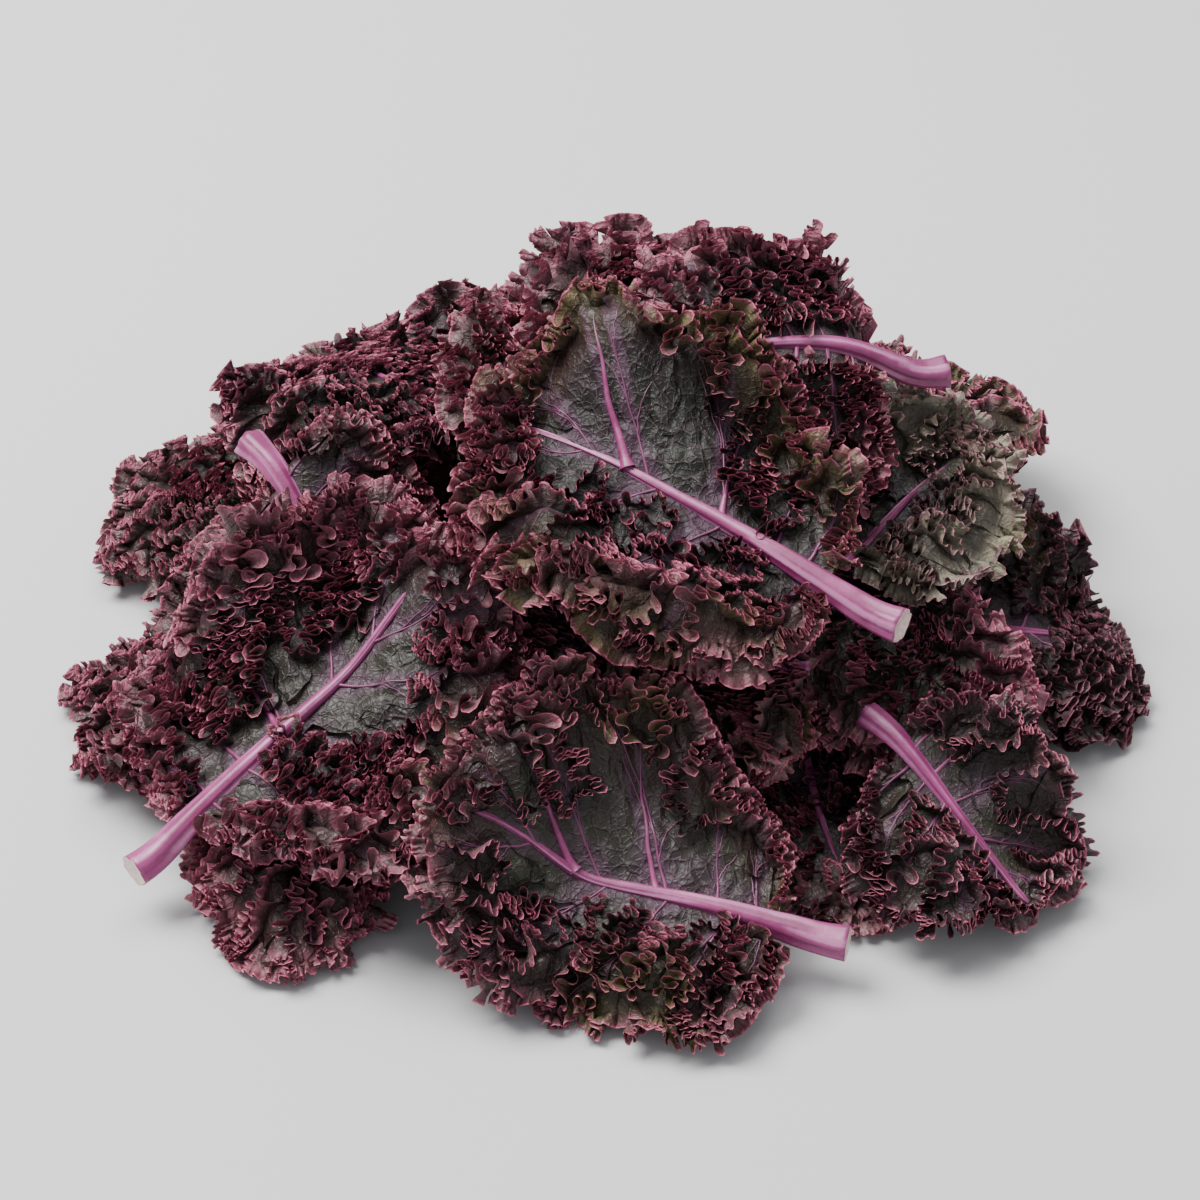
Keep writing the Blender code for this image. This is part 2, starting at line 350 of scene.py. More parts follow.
class Wave:
    """A curve that winds to and fro along a row of steps: how far it goes ahead and sideways of each.

    Its heading swings as a sine does. Its pitch, phase and swing wander, so that no two turns are alike.
    """

    def __init__(self, rng, steps, length, swing):
        place = np.cumsum(steps)
        pitch = length * (1 + 0.35 * wander(rng, place, 3.1 * length))
        phase = 2 * np.pi * np.cumsum(steps / pitch) + rng.uniform(0, 6.28)
        phase = phase + 0.9 * wander(rng, place, 1.3 * length)
        swing = np.minimum(swing * (1 + 0.28 * wander(rng, place, 1.7 * length)), MOST_SWING)
        self.steps = steps / headway(swing)
        angle = swing * np.sin(phase)
        self.along = self.level(self.steps * np.cos(angle) - steps, steps, length)
        self.across = self.level(self.steps * np.sin(angle), steps, length)

    @staticmethod
    def level(change, steps, length):
        """Adds up changes and takes off their slow drift."""
        total = np.cumsum(change)
        width = 1.6 * length / np.mean(steps)
        return total - box_mean(box_mean(total, width), width)


def fade(depth, reach):
    """From 1 at the margin to 0 at a depth, smoothly."""
    share = np.clip(1 - depth / reach, 0, 1)
    return share * share * (3 - 2 * share) * 0.5 + share * 0.5


def strides(rows):
    """How many columns apart the points of each of a ruffle's rows are."""
    return [2 ** sum(depth > limit for limit in COARSER_PAST) for depth in rows]


def read_grid(grid, row, column):
    """Values between a grid's points."""
    row = np.clip(row, 0, grid.shape[0] - 1.001)
    column = np.clip(column, 0, grid.shape[1] - 1.001)
    i, j = row.astype(int), column.astype(int)
    u, v = row - i, column - j
    if grid.ndim == 3:
        u, v = u[..., None], v[..., None]
    near = grid[i, j] * (1 - v) + grid[i, j + 1] * v
    return near * (1 - u) + (grid[i + 1, j] * (1 - v) + grid[i + 1, j + 1] * v) * u


class Blade:
    """A leaf's blade: a sheet of rows from the margin in and columns round the margin, and its ruffles."""

    def __init__(self, leaf, look, heap):
        self.leaf, self.look, self.columns = leaf, look, look["columns"]
        self.start = leaf.start if look["start"] is None else look["start"]
        self.low, high = heap.room(leaf)
        self.high, self.map = np.minimum(high, CAD_BOX[1].z / MM + HEADROOM), heap.map
        rng = np.random.default_rng(look["seed"])
        place, rib, edge = self.lay_rays()
        self.rows = np.linspace(0, BAND, look["band_rows"])
        band = self.rows[:, None] * self.scale
        inner = np.linspace(0, 1, look["inner_rows"] + 1)[1:, None]
        self.depth = np.concatenate([band, band[-1] + inner * (self.ray - band[-1])])
        spot = rib[None] + (edge - rib)[None] * self.reach(rng, place)[..., None]
        x, y = leaf.plan_places(spot[..., 0], spot[..., 1])
        smooth = np.stack([x, y, leaf.height(x, y) + self.swell(rng, place)], -1)
        smooth = self.curl(rng, smooth, place)
        relief = self.relief(rng, x, y, spot)
        self.grid = self.settle(smooth + frames(smooth)[0] * relief[..., None])
        smooth = self.settle(smooth)
        self.frills = [self.ruffle(rng, smooth, kind) for kind in ("over", "edge", "under")]

    def lay_rays(self):
        """Lays the sheet's columns as rays from the midrib, evenly spaced along the margin."""
        fine = np.linspace(-1, 1, OUTLINE_STEPS)
        outline = np.array(self.margin(fine)).T
        length = np.concatenate([[0], np.cumsum(np.linalg.norm(np.diff(outline, axis=0), axis=1))])
        self.total = length[-1]
        place = np.linspace(0, self.total, self.columns + 1)
        self.sigma = np.interp(place, length, fine)
        edge = np.array(self.margin(self.sigma)).T
        rib = np.array(self.rib_point(self.sigma)).T
        self.ray = np.linalg.norm(edge - rib, axis=1)
        self.scale = np.minimum(1, self.ray / FULL_RAY)
        return place, rib, edge

    def reach(self, rng, place):
        """How far out along its ray each of the sheet's points is, with the outline's lobes."""
        share = self.depth / self.ray
        lobes = 7.5 * wander(rng, place, 20.0) + 2.5 * wander(rng, place, 9.0)
        for centre, spread, more in self.look["trims"]:
            lobes = lobes + more * np.exp(-(((self.sigma - centre) / spread) ** 2))
        return (1 - share) * (1 + lobes * self.scale / self.ray * fade(self.depth, 30.0))

    def at_column(self, values, column):
        """A row of values, one for each column, read between the columns."""
        return np.interp(column, np.arange(self.columns + 1), values)

    def row_at(self, column, share):
        """The sheet's row where a share of the way from the margin to the midrib is passed."""
        band = BAND * self.at_column(self.scale / self.ray, column)
        frill, inner = len(self.rows) - 1, len(self.depth) - len(self.rows)
        return np.where(share < band, share / band * frill, frill + (share - band) / (1 - band) * inner)

    def settle(self, points):
        """Keeps points between what lies under the leaf and what lies over it."""
        low = self.map.read(self.low, points[..., 0], points[..., 1]) + NEIGHBOUR_GAP
        high = self.map.read(self.high, points[..., 0], points[..., 1]) - NEIGHBOUR_GAP
        settled = points.copy()
        settled[..., 2] = squeeze(points[..., 2], np.maximum(low, FLOOR_GAP), high)
        return settled

    def margin(self, sigma):
        """Along and across places of the outline: -1 is the right side's foot, 0 the tip, 1 the left foot."""
        share = 1 - np.abs(sigma)
        turn = np.pi * share
        along = self.start + (self.leaf.length - INSET - self.start) * (1 - np.cos(turn)) / 2
        half = (self.leaf.half_width - INSET) * np.sin(turn) ** OUTLINE_POWER
        half = half + self.look["neck"] * (1 - share) ** 3
        return along, np.sign(sigma) * np.where(share == 1, 0, half)

    def rib_point(self, sigma):
        """Along and across places of the rays' inner ends, on the midrib."""
        share = 1 - np.abs(sigma)
        along = self.start + RAY_REACH * (self.leaf.length - self.start) * share ** RAY_LEAN
        return along, np.zeros_like(sigma)

    def swell(self, rng, place):
        """Hills and hollows of the band along the margin."""
        across = np.broadcast_to(place, self.depth.shape)
        size = self.look["hills"]
        hills = size * patches(rng, across, self.depth, 1.6 * size + 4)
        hills = hills + 2.5 * patches(rng, across, self.depth, 8.0)
        return hills * fade(self.depth, BAND + 8) * self.scale

    def relief(self, rng, x, y, spot):
        """The crinkles of the blade between its veins, in cells that lie along the side veins."""
        broad = 1.8 * patches(rng, x, y, 24.0)
        along, across = spot[..., 0], np.abs(spot[..., 1])
        lengthwise = along * 0.6 + across * 0.8
        crosswise = (across * 0.6 - along * 0.8) * np.sign(spot[..., 1] + 1e-9)
        warp = 1.6 * patches(rng, along, spot[..., 1], 7.0)
        net = cell_edges(rng, (lengthwise + warp) / 8.0, (crosswise + warp) / 7.0)
        fine = 1.0 * np.clip(net / 0.7, 0, 1) ** 0.8 + 0.8 * patches(rng, x, y, 6.0)
        rib_side = np.clip(across / 6.0, 0, 1)
        return (broad + fine) * rib_side * np.minimum(1, self.scale + 0.3)

    def curl(self, rng, grid, place):
        """Turns the band along the margin up or down."""
        angle = CURL * wander(rng, place, 45.0) + CURL_UP
        normal, outward = frames(grid)
        turn = angle * np.clip(1 - self.depth / (BAND * self.scale), 0, 1)
        step = np.zeros_like(self.depth)
        step[:-1] = self.depth[1:] - self.depth[:-1]
        out = np.cumsum((step * (np.cos(turn) - 1))[::-1], axis=0)[::-1]
        up = np.cumsum((step * np.sin(turn))[::-1], axis=0)[::-1]
        inner = len(self.rows)
        return grid + outward[inner][None] * out[..., None] + normal[inner][None] * up[..., None]

    def foot(self, rng, smooth, kind):
        """The way of a ruffle's foot over the sheet: distances along it, and columns and depths there."""
        steps = np.full(FOOT_STEPS, self.total / FOOT_STEPS)
        place = np.cumsum(steps) - steps[0]
        length, swing = (FRINGE_LENGTH, FRINGE_SWING) if kind == "edge" else (TURN_LENGTH, TURN_SWING)
        turn = Wave(rng, steps, length * (UNDER_TURNS if kind == "under" else 1.0), swing)
        column = np.clip((place + turn.along) / self.total, 0, 1) * self.columns
        ray = self.at_column(self.ray, column)
        if kind == "edge":
            depth = 3.0 - turn.across * 0.9
        else:
            sigma = self.at_column(self.sigma, column)
            cover = np.interp(sigma, np.linspace(-1, 1, len(self.look["cover"])), self.look["cover"])
            cover = UNDER_COVER if kind == "under" else cover
            band = ray * (cover + 0.12 * wander(rng, place, 30.0))
            depth = 2 + band * (0.5 - 0.5 * turn.across / TURN_REACH) + 2.5 * wander(rng, place, 9.0)
        depth = np.clip(depth, 0.3, np.maximum(ray - self.look["clear"], 0.4))
        way = read_grid(smooth, self.row_at(column, depth / ray), column)
        length = np.concatenate([[0], np.cumsum(np.linalg.norm(np.diff(way, axis=0), axis=1))])
        step = COARSE["step"] if kind == "under" else self.look["step"]
        count = min(int(length[-1] / step), MOST_COLUMNS[kind]) // 4 * 4
        place = np.linspace(0, length[-1], count + 1)
        return place, np.interp(place, length, column), np.interp(place, length, depth)

    def ruffle(self, rng, smooth, kind):
        """A ruffle's points, how far each is down from the rim, and how far in on the sheet its foot is."""
        edge, under = kind == "edge", kind == "under"
        place, column, depth = self.foot(rng, smooth, kind)
        steps = np.full(len(place), place[-1] / (len(place) - 1))
        wave = Wave(rng, steps, WAVE_LENGTH, WAVE_SWING + 0.15 * edge)
        crimp = Wave(rng, wave.steps, CRIMP_LENGTH, CRIMP_SWING)
        scale = self.at_column(self.scale, column)
        row = self.row_at(column, depth / self.at_column(self.ray, column))
        foot = read_grid(smooth, row, column)
        ways = [even_out(way, FRAME_SMOOTHING * self.columns / self.total) for way in frames(smooth)]
        normal, outward = (read_grid(way, row, column) for way in ways)
        ahead = unit(np.gradient(foot, axis=0))
        if edge:
            lean = 1.25 + 0.75 * wander(rng, place, 8.0)
        else:
            lean = 1.1 * np.clip(1 - depth / 15.0, 0, 1) ** 0.8 - 0.15 + 0.5 * wander(rng, place, 9.0)
        if under:
            normal = -normal
        rise = unit(normal * np.cos(lean)[:, None] + outward * np.sin(lean)[:, None])
        side = unit(np.cross(ahead, rise))
        height = 1 + 0.18 * wander(rng, place, 6.0) + 0.22 * wander(rng, place, 24.0)
        height *= RUFFLE_HEIGHT * (0.45 + 0.55 * scale)
        height *= EDGE_HEIGHT if edge else 1 - 0.35 * np.clip((depth - 14) / 18, 0, 1)
        if under:
            height *= UNDER_HEIGHT
            room = foot[:, 2] - np.maximum(self.map.read(self.low, foot[:, 0], foot[:, 1]), FLOOR_GAP)
        else:
            room = self.map.read(self.high, foot[:, 0], foot[:, 1]) - foot[:, 2]
        room = box_mean(np.minimum(room, MOST_HEIGHT), ROOM_SMOOTHING / steps[0])
        height = np.minimum(height, np.maximum(room, LEAST_HEIGHT))
        down = np.array(RUFFLE_ROWS)[:, None] / RUFFLE_ROWS[-1] * (height + 1.0)
        up = height - down
        strength = np.minimum(1, 0.3 + 0.7 * scale)
        swing = (0.2 + 0.8 * fade(down, 9.0)) * strength
        crease = fade(down, 9.0 if edge else 6.0) * strength
        sideways = swing * wave.across + crease * crimp.across
        sideways = sideways + 1.8 * wander(rng, place, 8.0) * (up / RUFFLE_HEIGHT) ** 2
        lengthways = swing ** 2 * wave.along + crease ** 2 * crimp.along
        points = foot[None] + rise[None] * up[..., None]
        points = points + side[None] * sideways[..., None] + ahead[None] * lengthways[..., None]
        top = CAD_BOX[1].z / MM + HEADROOM
        points[..., 2] = squeeze(points[..., 2], np.full_like(up, FLOOR_GAP), top)
        return points, down, depth

    def mesh(self, vein_list):
        """Points, triangles, UVs and the shader's fields of the sheet and its ruffles."""
        coarser = len(self.grid) - len(self.rows)
        sheet, faces, where = grid_mesh(self.grid, [1] * len(self.rows) + [2] * coarser)
        row, column = where.T
        margin = self.depth[row, column]
        veins = np.array([vein[0] for vein in vein_list] + [NO_VEIN])
        near = np.abs(self.sigma[column][:, None] - veins[None]).min(1) * self.total / 2
        near = near * np.clip(1 - margin / self.ray[column], 0.05, 1)
        # The sheet takes the lowest 0.4 of the UV square, and each ruffle a strip of 0.18 over it
        uv = np.stack([column / self.columns, 0.4 * (1 - row / (len(self.grid) - 1))], 1)
        parts, uvs, fields = [(sheet, faces)], [uv], [(margin, margin, near)]
        for number, (grid, down, depth) in enumerate(self.frills):
            frill, faces, where = grid_mesh(grid, strides(RUFFLE_ROWS))
            row, column = where.T
            parts.append((frill, faces))
            across = 1 - row / (len(grid) - 1)
            uvs.append(np.stack([column / (grid.shape[1] - 1), 0.41 + 0.2 * number + 0.18 * across], 1))
            fields.append((down[row, column], depth[column], np.full(len(frill), FAR_FROM_VEINS)))
        points, triangles = join(parts)
        fields = dict(zip(("margin", "inward", "rib"), (np.concatenate(field) for field in zip(*fields))))
        return points, triangles, np.concatenate(uvs), fields


def grid_mesh(grid, strides):
    """Points, triangles, and each point's row and column, of a grid whose rows may keep fewer columns."""
    starts, points, where, triangles = [], [], [], []
    total = 0
    for row, stride in enumerate(strides):
        columns = np.arange(0, grid.shape[1], stride)
        starts.append(total)
        total += len(columns)
        points.append(grid[row, columns])
        where.append(np.stack([np.full(len(columns), row), columns], 1))
    for row in range(len(strides) - 1):
        ratio = strides[row + 1] // strides[row]
        inner = starts[row + 1] + np.arange((grid.shape[1] - 1) // strides[row + 1])
        outer = starts[row] + ratio * np.arange(len(inner))
        triangles += [np.stack([outer, outer + 1, inner], 1), np.stack([outer + 1, inner + 1, inner], 1)]
        if ratio == 2:
            triangles.append(np.stack([outer + 1, outer + 2, inner + 1], 1))
    return np.concatenate(points), np.concatenate(triangles), np.concatenate(where)


def add_mesh(name, points, triangles, material, fields, uvs=None):
    """A smooth mesh object from points in mm and triangles, with a value per point for each named field."""
    mesh = bpy.data.meshes.new(name)
    mesh.vertices.add(len(points))
    mesh.vertices.foreach_set("co", (points * MM).astype(np.float32).ravel())
    mesh.loops.add(triangles.size)
    mesh.loops.foreach_set("vertex_index", triangles.astype(np.int32).ravel())
    mesh.polygons.add(len(triangles))
    mesh.polygons.foreach_set("loop_start", np.arange(0, triangles.size, 3, dtype=np.int32))
    mesh.polygons.foreach_set("use_smooth", np.ones(len(triangles), bool))
    if uvs is not None:
        layer = mesh.uv_layers.new(name="OFBake")
        layer.data.foreach_set("uv", uvs[triangles.ravel()].astype(np.float32).ravel())
    mesh.update(calc_edges=True)
    for field, values in fields.items():
        mesh.attributes.new(field, "FLOAT", "POINT").data.foreach_set("value", values.astype(np.float32))
    mesh.materials.append(material)
    piece = bpy.data.objects.new(name, mesh)
    bpy.context.scene.collection.objects.link(piece)
    return piece


def tube(path, radii, sides, flatness=1.0, shape=1.0, front=0):
    """Points and triangles of an open tube along a path. Its first rings may all face one way."""
    ahead = unit(np.gradient(path, axis=0))
    if front:
        ahead[:front + 1] = unit(path[front + 1] - path[front])
    side = unit(np.cross(ahead, UP))
    upward = unit(np.cross(side, ahead))
    turn = np.linspace(0, 2 * np.pi, sides, endpoint=False)
    ring = np.cos(turn)[None, :, None] * side[:, None]
    ring = ring + np.sin(turn)[None, :, None] * upward[:, None] * flatness
    points = path[:, None] + ring * (radii[:, None] * shape)[..., None]
    index = np.arange(len(path) * sides).reshape(len(path), sides)
    after = np.roll(index, -1, axis=1)
    a, b, c, d = index[:-1].ravel(), after[:-1].ravel(), after[1:].ravel(), index[1:].ravel()
    return points.reshape(-1, 3), np.concatenate([np.stack([a, b, c], 1), np.stack([a, c, d], 1)])


def join(parts):
    """One list of points and one of triangles from several."""
    points, triangles, total = [], [], 0
    for part_points, part_triangles in parts:
        points.append(part_points)
        triangles.append(part_triangles + total)
        total += len(part_points)
    return np.concatenate(points), np.concatenate(triangles)


def stalk_ridges(turn):
    """The stalk's cross-section: low ridges all round, and one along its top."""
    keel = 0.12 * np.exp(-((turn - np.pi / 2) / 0.35) ** 2)
    return 1 + 0.07 * np.cos(5 * turn + 0.6) + 0.05 * np.cos(9 * turn) + keel


def stalk_line(leaf, look, rng):
    """The middle line of the stalk and midrib: distances from the cut end, points and radii."""
    reach = look["stalk_reach"] * leaf.length
    along = np.linspace(0, reach, int(reach / STALK_STEP))
    on_stalk = along <= leaf.stalk_length
    surface = leaf.height(*leaf.plan_places(along, 0 * along))
    height = surface.copy()
    height[on_stalk] = leaf.stalk_height(along[on_stalk])
    past = np.clip((along - leaf.stalk_length + STALK_JOIN) / STALK_JOIN, 0, 1)
    height = height * (1 - past) + surface * past
    height = box_mean(box_mean(height, 9), 9)
    share = np.clip(along / leaf.stalk_length, 0, 1)
    radius = leaf.cut_radius * (0.2 + 0.8 * (1 - share) ** 1.7) * look["stalk"]
    narrowing = np.interp(along, [leaf.stalk_length, reach], [radius.min(), 0.4])
    radius = np.where(along > leaf.stalk_length, narrowing, radius)
    radius *= 1 + 0.04 * wander(rng, along, 9.0)
    sway = 0.8 * wander(rng, along, 30.0) * np.clip(along / 20, 0, 1)
    x, y = leaf.plan_places(along, sway)
    return along, np.stack([x, y, height], 1), radius


def vein_tube(leaf, blade, rng, vein, along, midrib):
    """A side vein's points, triangles and radii. One that leaves the midrib is widest there."""
    sigma, sigma_end, share, share_end, width = vein
    passed = np.linspace(0, 1, VEIN_STEPS)
    sigmas = sigma + (sigma_end - sigma) * passed ** 1.5
    column = np.interp(sigmas, blade.sigma, np.arange(blade.columns + 1))
    column = column + 1.2 * blade.columns / FINE["columns"] * wander(rng, 100 * passed, 12.0)
    line = read_grid(blade.grid, blade.row_at(column, share + (share_end - share) * passed), column)
    line = np.stack([box_mean(line[:, axis], 3) for axis in range(3)], 1)
    radii = width * (1 - passed) ** 0.8 + 0.16
    if share == 1.0:
        start = leaf.leaf_places(*line[0, :2])[0]
        joint = np.array([np.interp(start, along, midrib[:, axis]) for axis in range(3)])
        line += (joint - line[0]) * np.exp(-passed / 0.12)[:, None]
        radii *= 1 + 0.9 * np.exp(-passed / 0.07)
    line[:, 2] += 0.2 * radii
    return tube(line, radii, VEIN_SIDES) + (radii,)


def stalk_mesh(leaf, blade, vein_list, rng):
    """The stalk with its cut end, then the midrib on to the tip, then the side veins."""
    along, midrib, radius = stalk_line(leaf, blade.look, rng)
    # The cut face: rings that close the near end, slightly hollowed
    ahead = unit(midrib[1] - midrib[0])
    face = np.array([midrib[0] + ahead * (inset * CUT_HOLLOW) for _, inset in CUT_RINGS])
    path = np.concatenate([face, midrib[1:]])
    radius = np.concatenate([[radius[0] * share for share, _ in CUT_RINGS], radius[1:]])
    turn = np.linspace(0, 2 * np.pi, STALK_SIDES, endpoint=False)
    stalk = tube(path, radius, STALK_SIDES, STALK_FLATNESS, stalk_ridges(turn)[None, :], len(CUT_RINGS))
    cut = np.zeros(len(stalk[0]))
    cut[:(len(CUT_RINGS) - 1) * STALK_SIDES] = 1.0
    streak = 0
    for waves in (3, 5, 8):
        drift = 3 * wander(rng, np.arange(len(path)), 25.0)[:, None]
        streak = streak + 0.3 * np.cos(waves * turn[None] + drift)
    parts, fields = [stalk], [(cut, np.repeat(radius, STALK_SIDES), streak.ravel())]
    for vein in vein_list:
        points, triangles, radii = vein_tube(leaf, blade, rng, vein, along, midrib)
        plain = np.zeros(len(points))
        parts.append((points, triangles))
        fields.append((plain, np.repeat(radii, VEIN_SIDES), plain))
    points, triangles = join(parts)
    fields = dict(zip(("cut", "thick", "streak"), (np.concatenate(field) for field in zip(*fields))))
    return points, triangles, fields


def veins(look, rng):
    """Side veins, each as its margin place at foot and end, its share of the ray there, and thickness."""
    found = []
    for side in (-1, 1):
        for foot in np.linspace(0.14, 0.88, look["veins"]):
            foot = foot + rng.uniform(-0.035, 0.035)
            width = 0.6 * (1 - 0.4 * foot) * rng.uniform(0.6, 1.2)
            bend = rng.uniform(-0.01, 0.05)
            found.append((side * (1 - foot), side * (1 - foot - bend), 1.0, 0.3, width))
            for start in (0.8, 0.62, 0.45):
                sideways = rng.choice((-1, 1)) * rng.uniform(0.03, 0.07)
                middle = 1 - foot - bend * (1 - start) / 0.7
                end = middle + sideways
                found.append((side * middle, side * end, start, start - 0.3, width * 0.6 * start))
    for sigma, width in look["strong"]:
        found.append((sigma, sigma * 1.1, 1.0, 0.2, width))
    return found


# Materials

def node_graph(name):
    """A new material with one shader on its surface."""
    material = bpy.data.materials.new(name)
    material.use_nodes = True
    tree = material.node_tree
    tree.nodes.clear()
    out = tree.nodes.new("ShaderNodeOutputMaterial")
    shader = tree.nodes.new("ShaderNodeBsdfPrincipled")
    tree.links.new(shader.outputs[0], out.inputs["Surface"])
    return material, Graph(tree), shader


def srgb(code):
    """Linear colour from a hexadecimal sRGB one."""
    values = [int(code[i:i + 2], 16) / 255 for i in (0, 2, 4)]
    return tuple(v / 12.92 if v <= 0.04045 else ((v + 0.055) / 1.055) ** 2.4 for v in values) + (1.0,)


class Graph:
    """Shorthand for a node tree."""

    def __init__(self, tree):
        self.tree = tree

    def put(self, socket, value):
        """Links a socket to another, or sets it to a constant."""
        if isinstance(value, bpy.types.NodeSocket):
            self.tree.links.new(value, socket)
        else:
            socket.default_value = value

    def field(self, name):
        """One of the mesh's own fields."""
        node = self.tree.nodes.new("ShaderNodeAttribute")
        node.attribute_name = name
        return node.outputs["Fac"]

    def place(self):
        """Places in the piece's own space, in metres."""
        return self.tree.nodes.new("ShaderNodeTexCoord").outputs["Object"]

    def noise(self, vector, scale, detail=4.0, rough=0.55):
        node = self.tree.nodes.new("ShaderNodeTexNoise")
        self.put(node.inputs["Vector"], vector)
        self.put(node.inputs["Scale"], scale)
        self.put(node.inputs["Detail"], detail)
        self.put(node.inputs["Roughness"], rough)
        return node.outputs["Fac"]

    def cells(self, vector, scale):
        """How far places are from the walls between irregular cells."""
        node = self.tree.nodes.new("ShaderNodeTexVoronoi")
        node.feature = "DISTANCE_TO_EDGE"
        self.put(node.inputs["Vector"], vector)
        self.put(node.inputs["Scale"], scale)
        return node.outputs["Distance"]

    def warped(self, vector, scale, size):
        """Places pushed about by a noise, so that what is drawn on them isn't straight."""
        node = self.tree.nodes.new("ShaderNodeTexNoise")
        self.put(node.inputs["Vector"], vector)
        self.put(node.inputs["Scale"], scale)
        shift = self.tree.nodes.new("ShaderNodeVectorMath")
        shift.operation = "MULTIPLY_ADD"
        self.put(shift.inputs[0], node.outputs["Color"])
        shift.inputs[1].default_value = (size, size, size)
        self.put(shift.inputs[2], vector)
        return shift.outputs[0]

    def spread(self, value, low, high, start=0.0, end=1.0):
        """A value between two limits, carried smoothly over to the span between two others."""
        node = self.tree.nodes.new("ShaderNodeMapRange")
        node.interpolation_type = "SMOOTHSTEP"
        self.put(node.inputs["Value"], value)
        for socket, number in zip(("From Min", "From Max", "To Min", "To Max"), (low, high, start, end)):
            node.inputs[socket].default_value = number
        return node.outputs["Result"]

    def math(self, how, a, b):
        node = self.tree.nodes.new("ShaderNodeMath")
        node.operation = how
        self.put(node.inputs[0], a)
        self.put(node.inputs[1], b)
        return node.outputs[0]

    def mix(self, factor, a, b):
        node = self.tree.nodes.new("ShaderNodeMix")
        node.data_type = "RGBA"
        self.put(node.inputs[0], factor)
        self.put(node.inputs[6], a)
        self.put(node.inputs[7], b)
        return node.outputs[2]

    def bump(self, height, strength, distance, before=None):
        node = self.tree.nodes.new("ShaderNodeBump")
        node.inputs["Strength"].default_value = strength
        node.inputs["Distance"].default_value = distance
        self.put(node.inputs["Height"], height)
        if before is not None:
            self.put(node.inputs["Normal"], before)
        return node.outputs["Normal"]


def blade_material(look):
    """Dark between the veins, with two tones and olive patches on the ruffles, darker towards the ruffles'
    feet in painted shade, and lighter red rims.

    The fields are mm from the rim (margin), mm in from the leaf's margin (inward), mm from a side vein (rib),
    and how green the leaf is (tone).
    """
    material, g, shader = node_graph(f"kale_blade_{look['name']}")
    place = g.place()
    margin, inward, rib, tone = g.field("margin"), g.field("inward"), g.field("rib"), g.field("tone")
    parts = ("inner", "inner_2", "frill", "frill_2", "olive", "rim", "rim_2")
    colours = {part: srgb(look[part]) for part in parts}
    fine = g.noise(place, 240.0, 5.0)
    wide_net = g.cells(g.warped(place, 160.0, 0.002), 190.0)
    fine_net = g.cells(g.warped(place, 300.0, 0.001), 430.0)
    inner = g.mix(g.spread(g.noise(place, 32.0), 0.38, 0.62), colours["inner"], colours["inner_2"])
    inner = g.mix(g.spread(fine, 0.4, 0.8, 0.0, 0.5), inner, srgb("292421"))
    inner = g.mix(g.spread(fine_net, 0.1, 0.0, 0.0, 0.2), inner, srgb("423a3a"))
    inner = g.mix(g.spread(wide_net, 0.05, 0.01, 0.0, 0.35), inner, srgb("5a4650"))
    frill = g.mix(g.spread(g.noise(place, 55.0), 0.4, 0.65), colours["frill"], colours["frill_2"])
    patch = g.math("ADD", g.noise(place, 23.0), tone)
    frill = g.mix(g.spread(patch, 0.5, 0.7, 0.0, 0.85), frill, colours["olive"])
    # Darker olive-brown down from the rim towards each ruffle's foot: partly the leaf's own olive-brown
    # there, partly painted shade of the hollows between the ruffles
    frill = g.mix(g.spread(margin, 1.5, 7.0, 0.0, 0.85), frill, srgb("241c14"))
    edge = g.math("ADD", inward, g.math("MULTIPLY", g.noise(place, 60.0), 10.0))
    colour = g.mix(g.spread(edge, 16.0, 30.0), frill, inner)
    colour = g.mix(g.spread(rib, 1.2, 0.2, 0.0, 0.25), colour, srgb("6a4460"))
    rim = g.math("SUBTRACT", margin, g.math("MULTIPLY", g.noise(place, 300.0), 0.5))
    colour = g.mix(g.spread(rim, 1.8, 0.3, 0.0, 0.55), colour, colours["rim"])
    colour = g.mix(g.spread(rim, 0.4, 0.1, 0.0, 0.85), colour, colours["rim_2"])
    g.put(shader.inputs["Base Color"], colour)
    matt = g.spread(edge, 14.0, 28.0, 0.0, 0.06)
    g.put(shader.inputs["Roughness"], g.math("ADD", g.spread(fine, 0.3, 0.7, 0.34, 0.5), matt))
    shader.inputs["IOR"].default_value = look["ior"]
    shader.inputs["Coat Weight"].default_value = 0.06
    shader.inputs["Coat Roughness"].default_value = 0.35
    shader.inputs["Sheen Weight"].default_value = 0.03
    shader.inputs["Sheen Roughness"].default_value = 0.45
    shader.inputs["Sheen Tint"].default_value = (0.85, 0.8, 0.9, 1.0)
    ridges = g.bump(g.spread(wide_net, 0.16, 0.0), 0.5, 0.0006)
    ridges = g.bump(g.spread(fine_net, 0.14, 0.0), 0.5, 0.0004, ridges)
    g.put(shader.inputs["Normal"], g.bump(g.noise(place, 700.0, 3.0), 0.3, 0.0004, ridges))
    return material


